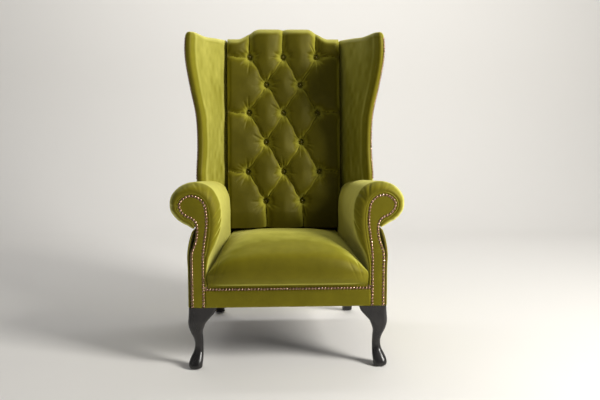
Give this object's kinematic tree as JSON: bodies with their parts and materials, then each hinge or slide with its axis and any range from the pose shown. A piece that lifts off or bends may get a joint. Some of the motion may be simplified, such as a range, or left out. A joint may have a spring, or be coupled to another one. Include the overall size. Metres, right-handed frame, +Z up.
{
  "type": "wingback armchair",
  "caption": "Tall wingback armchair with a deep buttoned back, domed sprung seat, nailed scroll arms and black cabriole front legs.",
  "frame": {"origin": "centre of the object's box, on the floor under the feet", "axes": "+Z up; -Y out of the front of the seat; +X to the right as seen from the front"},
  "size_m": [0.8468, 0.8076, 1.2715],
  "materials": {
    "velvet": "olive green cotton plush velvet, soft sheen",
    "foam": "upholstery foam with wadding",
    "frame_wood": "planed beech",
    "black_wood": "satin black lacquer on wood",
    "nail_bronze": "antique bronze dome, rubbed bright on top",
    "steel": "plain spring steel",
    "glide_plastic": "black nylon",
    "hessian": "jute hessian",
    "dust_cloth": "black non-woven cloth",
    "webbing": "jute webbing",
    "twine": "waxed flax twine"
  },
  "bodies": {
    "root": {"arm_facing_left": "velvet", "arm_facing_right": "velvet", "arm_nails_left": "nail_bronze", "arm_nails_right": "nail_bronze", "arm_pad_left": "foam", "arm_pad_right": "foam", "arm_rail_left": "frame_wood", "arm_rail_right": "frame_wood", "back_buttons": "velvet", "back_foam": "foam", "back_post_left": "frame_wood", "back_post_right": "frame_wood", "back_rail": "frame_wood", "back_webbing": "webbing", "button_twines": "twine", "corner_blocks": "frame_wood", "crest_rail": "frame_wood", "dust_cover": "dust_cloth", "front_border": "velvet", "front_leg_left": "black_wood", "front_leg_right": "black_wood", "front_rail": "frame_wood", "front_stump_left": "frame_wood", "front_stump_right": "frame_wood", "inside_arm_cover_left": "velvet", "inside_arm_cover_right": "velvet", "inside_back_cover": "velvet", "inside_wing_cover_left": "velvet", "inside_wing_cover_right": "velvet", "leg_bolts": "steel", "leg_glides": "glide_plastic", "lumbar_rail": "frame_wood", "outside_arm_panel_left": "velvet", "outside_arm_panel_right": "velvet", "outside_back_panel": "velvet", "outside_wing_panel_left": "velvet", "outside_wing_panel_right": "velvet", "rear_leg_left": "black_wood", "rear_leg_right": "black_wood", "seat_cover": "velvet", "seat_foam": "foam", "seat_hessian": "hessian", "seat_nails": "nail_bronze", "seat_springs": "steel", "side_rail_left": "frame_wood", "side_rail_right": "frame_wood", "spring_clips": "steel", "wing_nails_left": "nail_bronze", "wing_nails_right": "nail_bronze", "wing_pad_left": "foam", "wing_pad_right": "foam", "wing_post_left": "frame_wood", "wing_post_right": "frame_wood", "wing_rail_left": "frame_wood", "wing_rail_right": "frame_wood"}
  },
  "joints": []
}
